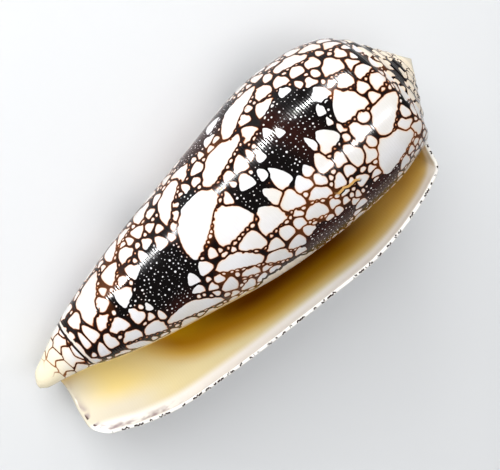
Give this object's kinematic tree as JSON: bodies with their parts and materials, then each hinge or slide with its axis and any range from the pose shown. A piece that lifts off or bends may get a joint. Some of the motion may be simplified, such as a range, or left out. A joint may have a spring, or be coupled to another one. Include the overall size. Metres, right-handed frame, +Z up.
{
  "type": "cone shell",
  "caption": "Tall cone snail shell with a low stepped spire, a long narrow mouth behind a flared outer lip, and a net of dark lines round white tents.",
  "frame": {"origin": "middle of the shell's box in X and Y, at the surface it rests on", "axes": "+X towards the apex, along the resting shell; -Y towards the outer lip's side; +Z up, the way the mouth opens"},
  "size_m": [0.1092, 0.0464, 0.0418],
  "materials": {
    "shell": "glossy, spirally threaded, white tents on a dark brown net"
  },
  "bodies": {
    "root": {"shell": "shell"}
  },
  "joints": []
}
